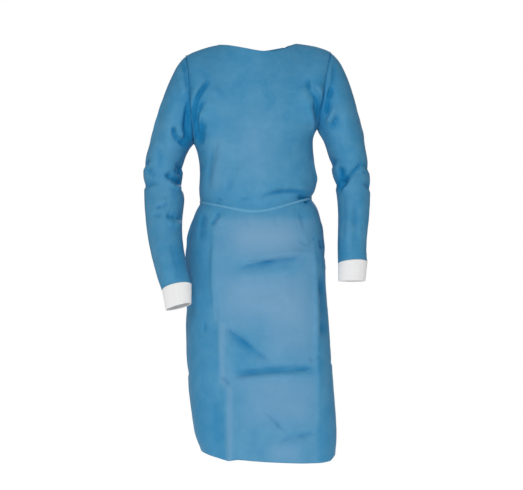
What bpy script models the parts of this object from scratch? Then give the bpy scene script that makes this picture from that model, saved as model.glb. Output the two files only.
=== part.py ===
"""Surgical gown in its worn shape, hollow, with nobody in it: front, two overlapping backs, set-in sleeves,
knitted cuffs, ties at the back of the neck and a tied waist belt. Metres, +Z up, the front faces -Y.

The origin is the middle of the neck opening, level with the shoulder seams' inner ends, where a wearer's
shoulders hold the gown. Left and right are the wearer's: the wearer's right side is -X.
"""

import math
from collections import namedtuple

import bmesh
import bpy
import numpy as np
from mathutils import Vector

# Driving dimensions
CLOTH = 0.0012  # thickness of a cloth wall
KNIT = 0.0022  # thickness of the knitted cuffs
SEAM_GAP = 0.0003  # between pieces that are sewn together
LAP_INSET = 0.0055  # how far the under back lies inside the upper one
LAP_ANGLE = math.radians(20)  # how far each back runs past the centre back
LAP_FULL, LAP_OUT_AGAIN = math.radians(22), math.radians(38)  # between these the under back comes out again
LAP_CLEAR = 0.7  # no other column lies beyond this share of the lap
CLEARANCE = 0.0005  # between a panel and what lies on it

BELT_CLOTH = 0.0012
TIE_WIDTH, TIE_CLOTH = 0.012, 0.0012
TIE_CLEARANCE = 0.0008  # a tie's end lies across the facets of the back
KNOT_GAP = 0.00095  # from a knot to the ties that leave it on a slant
TIE_DROP = 0.006  # a tie reaches the cloth this far below its knot, or lower
TIE_SPREAD = 0.60  # columns from the centre back to the middle of a tie, where it reaches the cloth
WAIST_KNOT = (0.026, 0.012, 0.018)  # width, depth, height
NECK_KNOT = (0.020, 0.010, 0.014)
NECK_KNOT_ROWS_DOWN = 0.5  # from the neck edge down to the middle of its knot

Tie = namedtuple("Tie", "name knot side rows drift")
# The hanging ends: the side is -1 on the wearer's left and 1 on the right, "rows" is how many rows of the
# cloth one passes, "drift" how many columns it strays on the way
TIES = [
    Tie("neck_tie_left", "neck", -1, 4, 0.45),
    Tie("neck_tie_right", "neck", 1, 3, 0.30),
    Tie("waist_tie_left", "waist", -1, 4, 0.25),
    Tie("waist_tie_right", "waist", 1, 3, 0.40),
]

# Neck opening
NECK_RIGHT = Vector((-0.114, 0.004, 0.000))
NECK_LEFT = Vector((0.117, 0.004, 0.006))
NECK_FRONT_REACH, NECK_FRONT_DROP = 0.070, 0.030
NECK_BACK_REACH, NECK_BACK_DROP = 0.060, 0.014
NECK_POINTED = 1.6  # 1 for an opening that is round at the shoulder seams, more for a boat shape
NECK_FLAT = 2.4  # higher for a neckline that stays level longer at its ends
NECK_LOW_SHARE = 0.60  # where along the front neckline its lowest point is, from the wearer's right
NECK_COLUMN = math.radians(50)  # the angle at which the shoulder seam ends at the neck

# How the cloth arrives at its top edge: how far out and down the last handle of its curve lies
SHOULDER_HANDLE = (0.052, 0.020)
NECK_FRONT_HANDLE = (0.016, 0.050)
NECK_BACK_HANDLE = (0.022, 0.052)
NECK_FAN = 0.35  # how far the cloth's columns fan out sideways at the ends of the shoulder seams
CHEST_HANDLE_SHARE = 0.38
ARMHOLE_BLEND = math.radians(52)  # the armhole's shape fades out over this angle of the body

ARM_ROWS = 10  # rows of cloth from the underarm to the shoulder seam
SHOULDER_COLUMNS, NECK_COLUMNS = 5, 10

Section = namedtuple(
    "Section",
    "name level right_x right_z left_x left_z front_y front_z back_y back_z square rows",
)
# Cuts through the body, hem first. A section's four quarter points each have their own height,
# "square" is 2 for an ellipse and more for a boxier cut, "rows" is the number of rows up to the next one.
SECTIONS = [
    Section("hem", -1.195, -0.160, -1.181, 0.230, -1.197, -0.140, -1.194, 0.150, -1.188, 3.3, 1),
    Section("above_hem", -1.140, -0.175, -1.135, 0.235, -1.145, -0.141, -1.145, 0.151, -1.140, 3.2, 2),
    Section("low_skirt", -1.060, -0.186, -1.068, 0.231, -1.055, -0.140, -1.060, 0.151, -1.060, 3.1, 2),
    Section("crease_low", -0.960, -0.193, -0.978, 0.222, -0.943, -0.138, -0.960, 0.150, -0.960, 3.0, 1),
    Section("crease", -0.936, -0.195, -0.954, 0.221, -0.918, -0.137, -0.936, 0.150, -0.936, 3.0, 1),
    Section("crease_high", -0.912, -0.196, -0.930, 0.218, -0.896, -0.137, -0.913, 0.149, -0.912, 2.9, 2),
    Section("thigh", -0.800, -0.199, -0.800, 0.212, -0.800, -0.134, -0.800, 0.149, -0.800, 2.8, 2),
    Section("seat", -0.700, -0.202, -0.712, 0.201, -0.690, -0.131, -0.700, 0.148, -0.706, 2.7, 1),
    Section("trough", -0.642, -0.203, -0.668, 0.200, -0.616, -0.130, -0.641, 0.147, -0.655, 2.7, 1),
    Section("ridge", -0.617, -0.203, -0.640, 0.200, -0.594, -0.129, -0.616, 0.145, -0.626, 2.6, 1),
    Section("hip", -0.580, -0.200, -0.587, 0.197, -0.569, -0.127, -0.586, 0.140, -0.583, 2.5, 1),
    Section("high_hip", -0.533, -0.189, -0.527, 0.191, -0.514, -0.121, -0.546, 0.128, -0.530, 2.4, 1),
    Section("below_belt", -0.494, -0.176, -0.480, 0.177, -0.467, -0.114, -0.508, 0.110, -0.474, 2.4, 1),
    Section("belt_low", -0.477, -0.1625, -0.4615, 0.1615, -0.4495, -0.107, -0.4905, 0.098, -0.4555, 2.3, 1),
    Section("belt_top", -0.466, -0.1625, -0.4505, 0.1615, -0.4385, -0.107, -0.4795, 0.098, -0.4445, 2.3, 1),
    Section("blouse_low", -0.452, -0.165, -0.438, 0.171, -0.426, -0.118, -0.466, 0.108, -0.432, 2.3, 1),
    Section("blouse", -0.424, -0.166, -0.412, 0.1775, -0.400, -0.122, -0.437, 0.114, -0.412, 2.3, 2),
    Section("ribs", -0.350, -0.163, -0.354, 0.169, -0.338, -0.124, -0.356, 0.119, -0.348, 2.3, 1),
    Section("side", -0.296, -0.170, -0.311, 0.1635, -0.272, -0.122, -0.299, 0.124, -0.294, 2.3, 1),
    Section("underarm", -0.266, -0.180, -0.288, 0.1765, -0.246, -0.121, -0.270, 0.125, -0.267, 2.3, 0),
]

Ring = namedtuple("Ring", "name outer_x outer_z inner_x inner_z mid_y half_depth tilt rows")
# Cuts across a sleeve, armhole first. A ring runs from its inner point, next to the body, to its outer
# point, "tilt" in degrees lifts its front where the arm reaches forward.
SLEEVE_RIGHT = [
    Ring("armhole", -0.196, -0.035, -0.180, -0.288, 0.004, 0.080, 0, 1),
    Ring("cap", -0.238, -0.078, -0.184, -0.292, 0.004, 0.082, 0, 1),
    Ring("biceps", -0.264, -0.130, -0.189, -0.298, 0.004, 0.082, 0, 2),
    Ring("upper_arm", -0.297, -0.250, -0.198, -0.311, 0.008, 0.074, 0, 1),
    Ring("above_elbow", -0.327, -0.336, -0.209, -0.331, 0.018, 0.066, -2, 1),
    Ring("elbow", -0.331, -0.374, -0.2115, -0.371, 0.024, 0.064, 4, 1),
    Ring("elbow_fold", -0.327, -0.409, -0.2175, -0.407, 0.022, 0.060, 9, 1),
    Ring("below_elbow", -0.325, -0.446, -0.2035, -0.447, 0.008, 0.061, 14, 1),
    Ring("forearm_fold", -0.322, -0.484, -0.2125, -0.486, -0.010, 0.056, 18, 1),
    Ring("forearm", -0.314, -0.540, -0.2115, -0.544, -0.036, 0.053, 20, 2),
    Ring("low_forearm", -0.297, -0.615, -0.2005, -0.610, -0.076, 0.048, 21, 1),
    Ring("above_wrist", -0.279, -0.674, -0.1885, -0.662, -0.106, 0.044, 21, 1),
    Ring("wrist", -0.265, -0.708, -0.181, -0.691, -0.121, 0.040, 20, 0),
]
SLEEVE_LEFT = [
    Ring("armhole", 0.213, -0.024, 0.1765, -0.246, 0.004, 0.076, 0, 1),
    Ring("cap", 0.253, -0.062, 0.180, -0.250, 0.004, 0.079, 0, 1),
    Ring("biceps", 0.279, -0.130, 0.184, -0.256, 0.004, 0.079, 0, 2),
    Ring("upper_arm", 0.310, -0.252, 0.1945, -0.272, 0.008, 0.072, 0, 1),
    Ring("above_elbow", 0.328, -0.339, 0.2175, -0.339, 0.018, 0.064, 0, 1),
    Ring("elbow", 0.334, -0.395, 0.2245, -0.395, 0.022, 0.062, 3, 1),
    Ring("below_elbow", 0.333, -0.430, 0.2355, -0.430, 0.014, 0.057, 8, 1),
    Ring("forearm", 0.329, -0.485, 0.2375, -0.485, -0.004, 0.051, 13, 2),
    Ring("low_forearm", 0.320, -0.560, 0.2355, -0.560, -0.032, 0.046, 15, 1),
    Ring("above_wrist", 0.317, -0.603, 0.2345, -0.603, -0.047, 0.043, 15, 1),
    Ring("wrist", 0.320, -0.628, 0.235, -0.633, -0.055, 0.040, 14, 0),
]
CUFF_RIGHT = [
    SLEEVE_RIGHT[-1]._replace(rows=3),
    Ring("cuff_end", -0.2535, -0.763, -0.1805, -0.743, -0.148, 0.034, 20, 0),
]
CUFF_LEFT = [
    SLEEVE_LEFT[-1]._replace(rows=3),
    Ring("cuff_end", 0.3125, -0.683, 0.2345, -0.683, -0.073, 0.034, 14, 0),
]

Fold = namedtuple("Fold", "name side x0 z0 x1 z1 depth width")
# The largest folds of the body: straight troughs (depth below 0) and ridges, seen from the front or back
FOLDS = [
    Fold("thigh_trough", "front", -0.085, -0.655, 0.180, -0.612, -0.009, 0.017),
    Fold("thigh_ridge", "front", -0.060, -0.624, 0.165, -0.597, 0.005, 0.020),
    Fold("knee_trough", "front", -0.110, -0.948, 0.195, -0.915, -0.008, 0.017),
    Fold("lap_diagonal", "front", -0.109, -0.804, 0.047, -0.924, -0.007, 0.022),
    Fold("right_edge", "front", -0.120, -0.520, -0.075, -1.170, 0.006, 0.022),
    Fold("left_edge", "front", 0.164, -0.577, 0.180, -1.080, 0.006, 0.022),
    Fold("blouse_trough", "front", 0.020, -0.440, 0.120, -0.424, -0.005, 0.016),
    Fold("seat_trough", "back", -0.120, -0.690, 0.090, -0.655, -0.007, 0.020),
    Fold("calf_trough", "back", -0.150, -0.944, 0.120, -0.928, -0.007, 0.018),
    Fold("back_drape", "back", 0.110, -0.540, 0.150, -1.120, 0.006, 0.024),
]


def smooth(t):
    t = np.clip(t, 0.0, 1.0)
    return t * t * (3 - 2 * t)


def monotone(at, values, x):
    """Cubic through (at, values) that never overshoots. "at" rises."""
    h, slope = np.diff(at), np.diff(values) / np.diff(at)
    tangent = np.zeros(len(at))
    tangent[0], tangent[-1] = slope[0], slope[-1]
    for i in range(1, len(at) - 1):
        if slope[i - 1] * slope[i] > 0:
            before, after = 2 * h[i] + h[i - 1], h[i] + 2 * h[i - 1]
            tangent[i] = (before + after) / (before / slope[i - 1] + after / slope[i])
    i = int(np.clip(np.searchsorted(at, x) - 1, 0, len(at) - 2))
    t = (x - at[i]) / h[i]
    return (
        values[i] * (1 + 2 * t) * (1 - t) ** 2
        + values[i + 1] * t * t * (3 - 2 * t)
        + h[i] * (tangent[i] * t * (1 - t) ** 2 - tangent[i + 1] * t * t * (1 - t))
    )


def row_between(table, at, x):
    """The table's numbers at x, as a row of the same kind."""
    kind = type(table[0])
    made = {
        field: monotone(at, np.array([getattr(row, field) for row in table], float), x)
        for field in kind._fields
        if field not in ("name", "rows")
    }
    return kind(name="between", rows=0, **made)


LEVELS = np.array([s.level for s in SECTIONS])
CENTRE_BACK = 1.5 * math.pi


def body_ring(level, angle):
    """The body's cloth at a level. The angle runs from the wearer's right over the front to the left."""
    s = row_between(SECTIONS, LEVELS, level)
    c, d = math.cos(angle), math.sin(angle)
    half_width = (s.left_x - s.right_x) / 2
    depth = -s.front_y if d >= 0 else s.back_y
    reach = (abs(c / half_width) ** s.square + abs(d / depth) ** s.square) ** (-1 / s.square)
    side_z = s.right_z if c >= 0 else s.left_z
    end_z = s.front_z if d >= 0 else s.back_z
    centre_x = (s.left_x + s.right_x) / 2
    return Vector((centre_x - reach * c, -reach * d, side_z * c * c + end_z * d * d))


def sleeve_ring(ring, turn):
    """A point of a sleeve's cut. The turn runs from the inner point over the front to the outer one."""
    inner, outer = Vector((ring.inner_x, 0, ring.inner_z)), Vector((ring.outer_x, 0, ring.outer_z))
    middle = (inner + outer) / 2 + Vector((0, ring.mid_y, 0))
    tilt = math.radians(ring.tilt)
    front = Vector((0, -math.cos(tilt), math.sin(tilt)))
    return middle + (inner - outer) / 2 * math.cos(turn) + front * (ring.half_depth * math.sin(turn))


def shoulder_seam(neck, shoulder, share):
    """From the shoulder point (0) to the neck point (1), slightly arched."""
    point = shoulder.lerp(neck, share)
    point.z += 0.006 * math.sin(math.pi * share)
    return point


def neckline(share, front):
    """Along the neck edge from the wearer's right neck point (0) to the left one (1)."""
    low = NECK_LOW_SHARE if front else 0.5
    drop = NECK_FRONT_DROP if front else NECK_BACK_DROP
    reach = -NECK_FRONT_REACH if front else NECK_BACK_REACH
    ends = (NECK_RIGHT + NECK_LEFT) / 2
    half = (NECK_LEFT - NECK_RIGHT) / 2
    turn = math.pi * share
    dip = math.sin(math.pi * share ** (math.log(0.5) / math.log(low))) ** NECK_FLAT
    return ends - half * math.cos(turn) + Vector((0, reach * math.sin(turn) ** NECK_POINTED, -drop * dip))


def top_edge(angle, front):
    """(the point of the body's top edge above this angle, the offset of the cloth's last handle)"""
    along = angle if front else 2 * math.pi - angle
    side = -1 if front else 1
    right = along < math.pi / 2
    away = -1 if right else 1
    to_neck = min(along, math.pi - along) / NECK_COLUMN
    if to_neck < 1:
        shoulder = sleeve_ring(SLEEVE_RIGHT[0] if right else SLEEVE_LEFT[0], math.pi)
        point = shoulder_seam(NECK_RIGHT if right else NECK_LEFT, shoulder, to_neck)
        share, fan = 0.0, NECK_FAN * to_neck**2
    else:
        share = (along - NECK_COLUMN) / (math.pi - 2 * NECK_COLUMN)
        point = neckline(share, front)
        fan = NECK_FAN * abs(math.cos(math.pi * share))
    neck = NECK_FRONT_HANDLE if front else NECK_BACK_HANDLE
    mid = math.sin(math.pi * share) ** 2
    out = SHOULDER_HANDLE[0] * (1 - mid) + neck[0] * mid
    down = SHOULDER_HANDLE[1] * (1 - mid) + neck[1] * mid
    return point, Vector((away * fan * out, side * math.sqrt(1 - fan * fan) * out, -down))


def over_chest(angle, front, t):
    """The cloth above the underarm, from the underarm's level (0) to the top edge (1)."""
    top = LEVELS[-1]
    start = body_ring(top, angle)
    rise = (start - body_ring(top - 0.004, angle)).normalized()
    end, handle = top_edge(angle, front)
    first = start + rise * ((end - start).length * CHEST_HANDLE_SHARE)
    last = end + handle
    s = 1 - t
    return start * s**3 + first * (3 * s * s * t) + last * (3 * s * t * t) + end * t**3


def armhole(angle, front, t):
    """The armhole's own curve, on the side that the angle is in."""
    ring = SLEEVE_RIGHT[0] if math.cos(angle) >= 0 else SLEEVE_LEFT[0]
    return sleeve_ring(ring, math.pi * t if front else -math.pi * t)


def fold_depth(point, angle, front):
    """How far the large folds move this point of the body outwards."""
    total = 0.0
    for fold in FOLDS:
        if (fold.side == "front") != front:
            continue
        start, run = np.array([fold.x0, fold.z0]), np.array([fold.x1 - fold.x0, fold.z1 - fold.z0])
        away = np.array([point.x, point.z]) - start
        share = float(np.clip(away @ run / (run @ run), 0, 1))
        distance = float(np.linalg.norm(away - run * share))
        fade = math.sin(math.pi * (0.08 + 0.84 * share))
        total += fold.depth * fade * math.exp(-((distance / fold.width) ** 2))
    return total * float(smooth(abs(math.sin(angle)) / 0.35))


def body(angle, front, height):
    """A point of the body's cloth. Height is a level up to the underarm, then 0 to 1 added to that level."""
    outwards = Vector((-math.cos(angle), -math.sin(angle), 0))
    if height <= LEVELS[-1]:
        point = body_ring(height, angle)
    else:
        t = height - LEVELS[-1]
        point = over_chest(angle, front, t)
        side_angle = min((0, math.pi, 2 * math.pi), key=lambda a: abs(angle - a))
        pull = 1 - float(smooth(abs(angle - side_angle) / ARMHOLE_BLEND))
        point += (armhole(angle, front, t) - over_chest(side_angle, front, t)) * pull
    return point + outwards * fold_depth(point, angle, front)


def row_of(name):
    """The number of the row that lies on a section."""
    return sum(s.rows for s in SECTIONS[: [s.name for s in SECTIONS].index(name)])


def heights():
    """The rows of the body's cloth, hem to shoulder."""
    made = []
    for low, high in zip(SECTIONS[:-1], SECTIONS[1:]):
        made += list(np.linspace(low.level, high.level, low.rows + 1)[:-1])
    return made + [LEVELS[-1] + t for t in np.linspace(0, 1, ARM_ROWS + 1)]


def sleeve_rows(table):
    """The rings of a sleeve, with rows put in between the table's."""
    centres = [sleeve_ring(r, 0).lerp(sleeve_ring(r, math.pi), 0.5) for r in table]
    outer = [sleeve_ring(r, math.pi) for r in table]
    pairs = zip(centres, centres[1:], outer, outer[1:])
    steps = [((b - a).length + (d - c).length) / 2 for a, b, c, d in pairs]
    at = np.concatenate([[0], np.cumsum(steps)])
    made = []
    for i, ring in enumerate(table[:-1]):
        made += [row_between(table, at, x) for x in np.linspace(at[i], at[i + 1], ring.rows + 1)[:-1]]
    return made + [table[-1]]


def unit(vectors):
    length = np.linalg.norm(vectors, axis=-1, keepdims=True)
    return vectors / np.maximum(length, 1e-12)


class Sheet:
    """A grid of cloth points, [row, column], with outward normals. The columns of a tube close."""

    def __init__(self, name, points, tube, thickness, material, outside):
        self.name, self.points, self.tube = name, np.array(points, float), tube
        self.thickness, self.material, self.outside = thickness, material, outside
        columns = self.points
        if tube:
            columns = np.concatenate([columns[:, -1:], columns, columns[:, :1]], axis=1)
        across = np.gradient(columns, axis=1)
        across = across[:, 1:-1] if tube else across
        self.normals = outside * unit(np.cross(across, np.gradient(self.points, axis=0)))

    def pull_back(self, rows, columns):
        """Moves these edges, each 0 or -1, back from their seam by half its gap."""
        edges = []
        for r in rows:
            inner = self.points[1 if r == 0 else -2]
            edges.append((self.points[r], inner, self.normals[r], self.tube))
        for c in columns:
            inner = self.points[:, 1 if c == 0 else -2]
            edges.append((self.points[:, c], inner, self.normals[:, c], False))
        for edge, inner, normal, closed in edges:
            along = np.roll(edge, -1, 0) - np.roll(edge, 1, 0) if closed else np.gradient(edge, axis=0)
            away = inner - edge
            for direction in (unit(along), normal):
                away -= direction * np.sum(away * direction, axis=1, keepdims=True)
            edge += unit(away) * SEAM_GAP / 2

    def at(self, row, column):
        """(point, normal) between the grid's rows and columns."""
        i, j = min(int(row), len(self.points) - 2), min(int(column), self.points.shape[1] - 2)
        s, t = row - i, column - j
        found = []
        for grid in (self.points, self.normals):
            low = grid[i, j] * (1 - t) + grid[i, j + 1] * t
            high = grid[i + 1, j] * (1 - t) + grid[i + 1, j + 1] * t
            found.append(low * (1 - s) + high * s)
        return found[0], unit(found[1])


def share_seam_normals(sheets):
    """Gives the sheets one common normal wherever their points meet, so that both walls end in one plane."""
    found = {}
    for sheet in sheets:
        for index in np.ndindex(sheet.points.shape[:2]):
            found.setdefault(tuple(np.round(sheet.points[index], 5)), []).append((sheet, index))
    for members in found.values():
        if len(members) > 1:
            normal = unit(sum(sheet.normals[index] for sheet, index in members))
            for sheet, index in members:
                sheet.normals[index] = normal


def make_material(name, colour, roughness):
    material = bpy.data.materials.new(name)
    material.use_nodes = True
    shader = material.node_tree.nodes["Principled BSDF"]
    shader.inputs["Base Color"].default_value = (*colour, 1)
    shader.inputs["Roughness"].default_value = roughness
    shader.inputs["Metallic"].default_value = 0
    return material


def link(name, mesh, material):
    data = bpy.data.meshes.new(name)
    mesh.to_mesh(data)
    mesh.free()
    data.shade_smooth()
    data.set_sharp_from_angle(angle=math.radians(60))
    data.materials.append(material)
    bpy.context.scene.collection.objects.link(bpy.data.objects.new(name, data))


def make_wall(name, outer_points, inner_points, tube, outside, material):
    """The closed wall between two grids: its outer face, its inner face and the rims that join them.

    Both faces are split along the same diagonals, so they stay the wall's thickness apart."""
    rows, columns = outer_points.shape[:2]
    mesh = bmesh.new()
    outer = [[mesh.verts.new(p) for p in row] for row in outer_points]
    inner = [[mesh.verts.new(p) for p in row] for row in inner_points]
    for i in range(rows - 1):
        for j in range(columns if tube else columns - 1):
            k = (j + 1) % columns
            p, q, r, s = [(i, j), (i, k), (i + 1, k), (i + 1, j)][:: int(outside)]
            if math.dist(outer_points[p], outer_points[r]) < math.dist(outer_points[q], outer_points[s]):
                p, q, r, s = q, r, s, p
            for corners in ((p, q, r), (p, r, s)):
                mesh.faces.new([outer[a][b] for a, b in corners])
                mesh.faces.new([inner[a][b] for a, b in reversed(corners)])
    low = [(0, j) for j in range(columns)]
    high = [(rows - 1, j) for j in range(columns)][::-1]
    if tube:
        rims = [low, high]
    else:
        right = [(i, columns - 1) for i in range(1, rows - 1)]
        left = [(i, 0) for i in range(1, rows - 1)][::-1]
        rims = [low + right + high + left]
    for rim in rims:
        for (a, b), (c, d) in zip(rim, rim[1:] + rim[:1]):
            mesh.faces.new([outer[a][b], inner[a][b], inner[c][d], outer[c][d]][:: int(outside)])
    link(name, mesh, material)


def make_cloth(sheet):
    inner = sheet.points - sheet.normals * sheet.thickness
    make_wall(sheet.name, sheet.points, inner, sheet.tube, sheet.outside, sheet.material)


def body_angles(first, last):
    """The columns between two angles, with one at each end of a shoulder seam and one at each side."""
    stops = [0, NECK_COLUMN, math.pi - NECK_COLUMN, math.pi]
    stops += [math.pi + NECK_COLUMN, 2 * math.pi - NECK_COLUMN, 2 * math.pi]
    counts = [SHOULDER_COLUMNS, NECK_COLUMNS, SHOULDER_COLUMNS] * 2
    made = []
    for a, b, count in zip(stops, stops[1:], counts):
        made += list(np.linspace(a, b, count + 1)[:-1])
    made.append(2 * math.pi)
    return [a for a in made if first - 1e-6 <= a <= last + 1e-6]


def body_sheet(name, angles, material):
    front = max(angles) <= math.pi
    points = [[body(a, front, h) for a in angles] for h in heights()]
    return Sheet(name, points, False, CLOTH, material, 1)


def under_lap_inset(angle):
    """The under back steps inside the upper one where they lap, and comes out again beyond its edge."""
    return LAP_INSET * float(smooth((CENTRE_BACK + LAP_OUT_AGAIN - angle) / (LAP_OUT_AGAIN - LAP_FULL)))


def sleeve_sheet(name, table, thickness, material):
    """A sleeve or a cuff. Its columns start at the inner point and run over the front."""
    count = 2 * ARM_ROWS
    turns = [math.pi * j / ARM_ROWS for j in range(count)]
    points = [[sleeve_ring(r, t) for t in turns] for r in sleeve_rows(table)]
    outside = 1 if table[0].outer_x < table[0].inner_x else -1
    return Sheet(name, points, True, thickness, material, outside)


def make_belt(material):
    """The belt, a closed band in the groove of the waist, over both backs."""
    angles = sorted(body_angles(0, 2 * math.pi)[:-1] + [CENTRE_BACK + LAP_ANGLE])
    low, high = [s.level for s in SECTIONS if s.name in ("belt_low", "belt_top")]
    points = [[body(a, a <= math.pi, h) for a in angles] for h in (low, high)]
    belt = Sheet("waist_belt", points, True, BELT_CLOTH, material, 1)
    belt.points = belt.points + belt.normals * (CLEARANCE + BELT_CLOTH)
    make_cloth(belt)


def make_knot(name, middle, out, size, material):
    """A pulled-tight knot: a rounded block whose back just clears the point it sits on.

    Gives the point under its middle where the ties leave it, and the way across to the wearer's left."""
    width, depth, height = size
    across = out.cross(Vector((0, 0, 1))).normalized()
    up = across.cross(out)
    centre = middle + out * (depth / 2 + SEAM_GAP)
    mesh = bmesh.new()
    bmesh.ops.create_cube(mesh, size=1)
    bmesh.ops.bevel(
        mesh, geom=mesh.edges[:], offset=0.28, segments=2, profile=0.5, affect="EDGES", clamp_overlap=True
    )
    for v in mesh.verts:
        v.co = centre + across * (v.co.x * width) + out * (v.co.y * depth) + up * (v.co.z * height)
    bmesh.ops.recalc_face_normals(mesh, faces=mesh.faces[:])
    link(name, mesh, material)
    return centre - up * (height / 2 + KNOT_GAP), across


def make_tie(name, back, knot, side, column, rows, drift, material):
    """A hanging end of a tie: it leaves its knot and lies on the upper back down to a row of the cloth."""
    foot, across = knot
    levels = back.points[:, round(column), 2]
    first = int(np.searchsorted(levels, foot.z - TIE_DROP)) - 1
    points = []
    for k in range(rows, -1, -1):
        row, middle = first - k, column + side * (TIE_SPREAD + drift * k / rows)
        around = [back.at(row, middle + step)[0] for step in (-0.5, 0.5)]
        half = TIE_WIDTH / 2 / np.linalg.norm(around[1] - around[0])
        edges = [back.at(row, middle + step * half) for step in (-1, 1)]
        points.append([p + n * (TIE_CLEARANCE + TIE_CLOTH) for p, n in edges])
    start = -side * (TIE_WIDTH / 2 + SEAM_GAP)
    points.append([foot + across * (start + step * TIE_WIDTH / 2) for step in (1, -1)])
    make_cloth(Sheet(name, points, False, TIE_CLOTH, material, 1))


def build():
    for old in list(bpy.data.objects):
        bpy.data.objects.remove(old)
    blue = make_material("blue_nonwoven", (0.08, 0.27, 0.48), 0.75)
    white = make_material("white_knit", (0.80, 0.80, 0.80), 0.90)
    backs = body_angles(math.pi, 2 * math.pi)
    upper = [a for a in backs if a < CENTRE_BACK + LAP_ANGLE * LAP_CLEAR] + [CENTRE_BACK + LAP_ANGLE]
    under = [CENTRE_BACK - LAP_ANGLE] + [a for a in backs if a > CENTRE_BACK - LAP_ANGLE * LAP_CLEAR]
    front = body_sheet("front_panel", body_angles(0, math.pi), blue)
    back_left = body_sheet("back_left", upper, blue)
    back_right = body_sheet("back_right", under, blue)
    back_right.points -= back_right.normals * np.array([[under_lap_inset(a)] for a in under])
    sleeve_right = sleeve_sheet("sleeve_right", SLEEVE_RIGHT, CLOTH, blue)
    sleeve_left = sleeve_sheet("sleeve_left", SLEEVE_LEFT, CLOTH, blue)
    cuff_right = sleeve_sheet("cuff_right", CUFF_RIGHT, KNIT, white)
    cuff_left = sleeve_sheet("cuff_left", CUFF_LEFT, KNIT, white)
    sheets = [front, back_left, back_right, sleeve_right, sleeve_left, cuff_right, cuff_left]
    share_seam_normals(sheets)

    centre = next(j for j, a in enumerate(upper) if a > CENTRE_BACK - 1e-6)
    make_belt(blue)
    top_row = len(back_left.points) - 1
    neck, neck_out = [Vector(v) for v in back_left.at(top_row - NECK_KNOT_ROWS_DOWN, centre)]
    waist, waist_out = [Vector(v) for v in back_left.at(row_of("belt_low") + 0.5, centre)]
    waist += waist_out * (CLEARANCE + BELT_CLOTH)
    knots = {
        "neck": make_knot("neck_knot", neck, neck_out, NECK_KNOT, blue),
        "waist": make_knot("waist_knot", waist, waist_out, WAIST_KNOT, blue),
    }
    for tie in TIES:
        make_tie(tie.name, back_left, knots[tie.knot], tie.side, centre, tie.rows, tie.drift, blue)

    for sheet in (front, back_left, back_right):
        sheet.pull_back([-1], {"front_panel": [0, -1], "back_left": [0], "back_right": [-1]}[sheet.name])
    for sheet in (sleeve_right, sleeve_left):
        sheet.pull_back([0, -1], [])
    for sheet in (cuff_right, cuff_left):
        sheet.pull_back([0], [])
    for sheet in sheets:
        make_cloth(sheet)


build()
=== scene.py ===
import math
from collections import namedtuple

import bmesh
import bpy
import numpy as np
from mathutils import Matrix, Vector, kdtree, noise


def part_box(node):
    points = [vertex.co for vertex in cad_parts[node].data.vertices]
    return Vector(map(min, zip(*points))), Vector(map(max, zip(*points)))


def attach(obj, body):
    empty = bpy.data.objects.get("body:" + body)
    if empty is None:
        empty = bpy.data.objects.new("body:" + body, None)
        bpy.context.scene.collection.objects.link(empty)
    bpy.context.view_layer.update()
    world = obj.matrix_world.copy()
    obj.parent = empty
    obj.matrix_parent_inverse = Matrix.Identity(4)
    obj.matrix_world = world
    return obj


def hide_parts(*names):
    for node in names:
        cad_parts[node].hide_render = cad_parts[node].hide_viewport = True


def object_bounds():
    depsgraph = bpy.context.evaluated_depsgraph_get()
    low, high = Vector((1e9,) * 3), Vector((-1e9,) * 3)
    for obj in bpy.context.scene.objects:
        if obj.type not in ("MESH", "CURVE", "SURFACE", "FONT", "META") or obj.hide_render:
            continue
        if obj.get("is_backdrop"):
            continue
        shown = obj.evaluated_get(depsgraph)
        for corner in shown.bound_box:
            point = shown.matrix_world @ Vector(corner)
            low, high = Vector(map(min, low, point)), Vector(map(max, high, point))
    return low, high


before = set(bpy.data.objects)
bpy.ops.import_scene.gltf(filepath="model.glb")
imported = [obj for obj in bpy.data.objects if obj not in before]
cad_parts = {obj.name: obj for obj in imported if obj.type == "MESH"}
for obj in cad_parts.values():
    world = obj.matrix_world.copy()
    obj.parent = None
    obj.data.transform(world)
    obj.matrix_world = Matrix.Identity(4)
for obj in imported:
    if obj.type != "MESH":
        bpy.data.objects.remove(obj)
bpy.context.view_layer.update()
print("gown frame loaded:", len(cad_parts), "pieces")

view = {"place": (0.016, -4.5, -0.58), "lens": 106.8, "sensor": 36, "farthest": 50}
room = {
    "floorLevel": -1.47,
    "floorSize": 3.6,
    "floorColour": (0.90, 0.90, 0.90),
    "floorRoughness": 0.9,
    "floorGlow": 0.42,  # the light that comes up through a lit white floor
    "shownWhite": 1.0,  # what the camera sees past the floor
    "fill": 0.36,  # light from all round
}
lamps = [
    # name, place, aimed at, size, watts
    ("key_softbox", (-0.7, -3.0, 0.75), (0.0, 0.0, -0.62), 0.9, 43),
    ("front_softbox", (0.5, -4.2, -0.75), (0.02, 0.0, -0.80), 0.9, 33),
    ("back_softbox", (0.6, 3.2, 0.9), (0.0, 0.0, -0.6), 1.4, 60),
]


def setCamera():
    bpy.ops.object.camera_add(location=view["place"], rotation=(math.pi / 2, 0, 0))
    camera = bpy.context.object
    camera.name = "studio_camera"
    camera.data.lens = view["lens"]
    camera.data.sensor_width = view["sensor"]
    camera.data.clip_end = view["farthest"]
    bpy.context.scene.camera = camera


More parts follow.
